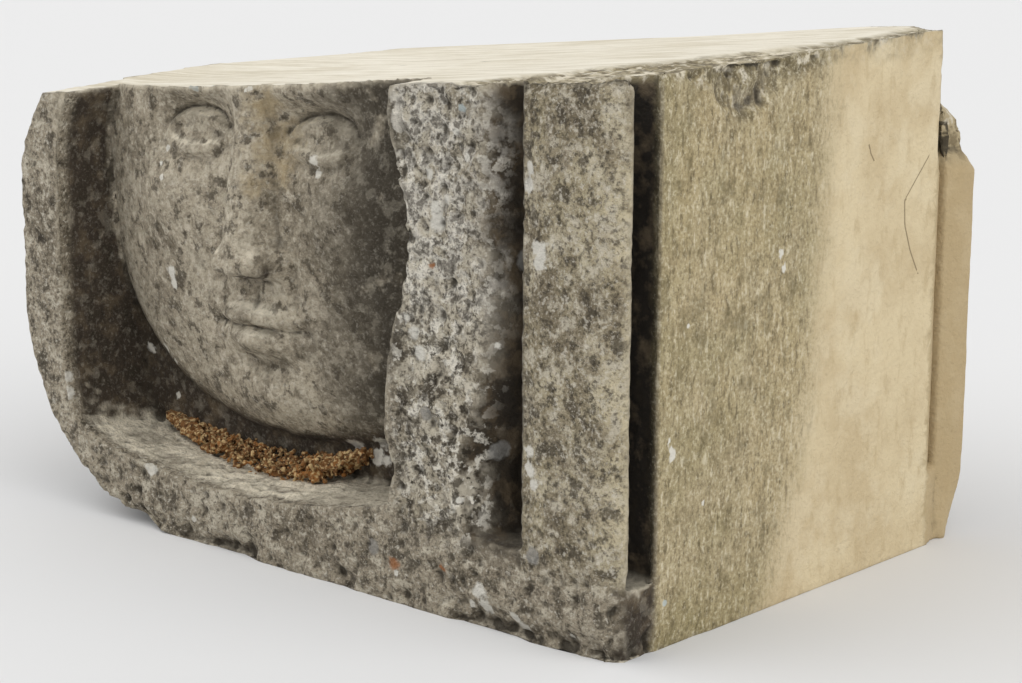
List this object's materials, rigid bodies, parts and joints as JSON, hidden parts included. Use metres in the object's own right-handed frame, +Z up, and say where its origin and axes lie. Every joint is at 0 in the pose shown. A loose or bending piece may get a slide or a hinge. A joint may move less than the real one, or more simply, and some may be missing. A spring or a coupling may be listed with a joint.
{
  "type": "stone corbel",
  "caption": "Carved limestone corbel block: sloping top bed, front panel with a worn head cut off at the forehead, corner roll between deep quirks, plain foot, flat back and underside.",
  "frame": {"origin": "on the underside, under the middle of the block's box", "axes": "+Z up; +X along the carved front towards the corner roll; -Y is the way the carved head looks"},
  "size_m": [0.437, 0.302, 0.276],
  "materials": {
    "weathered_limestone": null
  },
  "bodies": {
    "root": {"corbel_stone": "weathered_limestone"}
  },
  "joints": []
}
